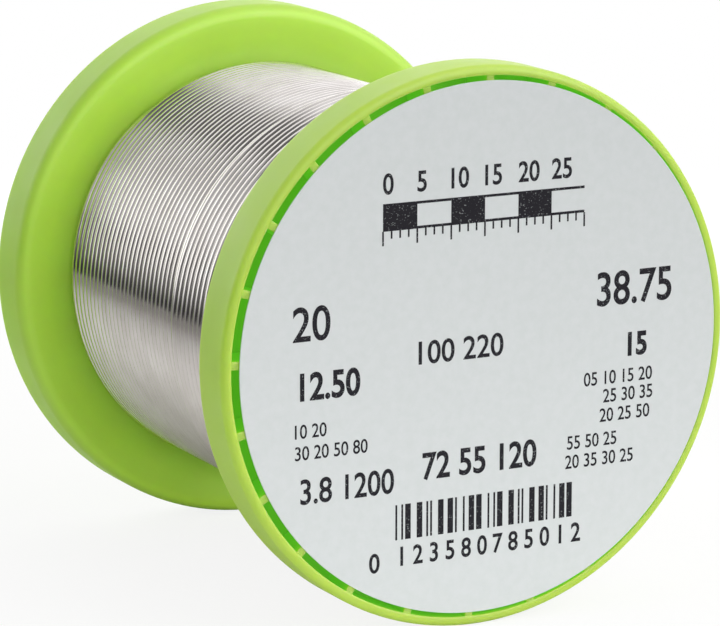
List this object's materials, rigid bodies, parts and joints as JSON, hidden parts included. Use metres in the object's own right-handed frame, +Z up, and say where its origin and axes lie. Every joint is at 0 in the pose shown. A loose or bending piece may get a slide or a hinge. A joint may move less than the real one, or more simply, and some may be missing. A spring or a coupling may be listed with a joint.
{
  "type": "solder wire spool",
  "caption": "Flanged plastic spool lying on its rims, wound with thin solder wire, with a round paper label on one end and a spindle bore through the hubs.",
  "frame": {"origin": "on the floor under the middle of the spool, which lies on its two rims", "axes": "+Z up, the spool's axis along Y at the height of the flange radius, the label facing -Y and reading upright with +X to its right"},
  "size_m": [0.06, 0.0598, 0.06],
  "materials": {
    "flange_plastic": "satin moulded",
    "barrel_plastic": "satin moulded",
    "label_paper": "coated, matt",
    "solder_wire": "bright drawn tin"
  },
  "bodies": {
    "root": {"front_flange": "flange_plastic", "rear_flange": "flange_plastic", "barrel_tube": "barrel_plastic", "front_label": "label_paper", "wire_inner_layers": "solder_wire", "wire_outer_layer": "solder_wire", "wire_top_layer": "solder_wire", "wire_start": "solder_wire"}
  },
  "joints": []
}
